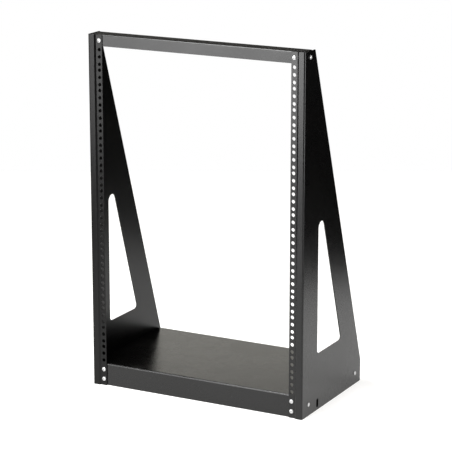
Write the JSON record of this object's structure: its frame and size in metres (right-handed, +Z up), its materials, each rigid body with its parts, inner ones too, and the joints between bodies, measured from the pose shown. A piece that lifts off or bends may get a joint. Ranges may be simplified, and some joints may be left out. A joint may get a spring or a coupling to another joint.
{
  "type": "two post open frame rack",
  "caption": "Free-standing two post open frame rack on a shelf base, with tapering side plates and perforated posts for nineteen inch equipment.",
  "frame": {"origin": "on the floor, in the middle of the rack's width and depth", "axes": "+X to the right seen from the front, +Y from the front to the back, +Z up"},
  "size_m": [0.5224, 0.3, 0.7895],
  "materials": {
    "powder_coated_steel": "semi-gloss black powder coat on folded steel sheet",
    "zinc_plated_screw": "bright zinc plate",
    "zinc_plated_nut": "dull zinc plate"
  },
  "bodies": {
    "root": {"left_side_frame": "powder_coated_steel", "right_side_frame": "powder_coated_steel", "top_crossbar": "powder_coated_steel", "base_shelf": "powder_coated_steel", "left_post_top_screw": "zinc_plated_screw", "left_post_base_lower_screw": "zinc_plated_screw", "left_post_base_upper_screw": "zinc_plated_screw", "left_side_top_screw": "zinc_plated_screw", "left_side_base_front_screw": "zinc_plated_screw", "left_side_base_rear_screw": "zinc_plated_screw", "right_post_top_screw": "zinc_plated_screw", "right_post_base_lower_screw": "zinc_plated_screw", "right_post_base_upper_screw": "zinc_plated_screw", "right_side_top_screw": "zinc_plated_screw", "right_side_base_front_screw": "zinc_plated_screw", "right_side_base_rear_screw": "zinc_plated_screw", "left_post_top_press_nut": "zinc_plated_nut", "left_post_base_lower_press_nut": "zinc_plated_nut", "left_post_base_upper_press_nut": "zinc_plated_nut", "left_side_top_press_nut": "zinc_plated_nut", "left_side_base_front_press_nut": "zinc_plated_nut", "left_side_base_rear_press_nut": "zinc_plated_nut", "right_post_top_press_nut": "zinc_plated_nut", "right_post_base_lower_press_nut": "zinc_plated_nut", "right_post_base_upper_press_nut": "zinc_plated_nut", "right_side_top_press_nut": "zinc_plated_nut", "right_side_base_front_press_nut": "zinc_plated_nut", "right_side_base_rear_press_nut": "zinc_plated_nut"}
  },
  "joints": []
}
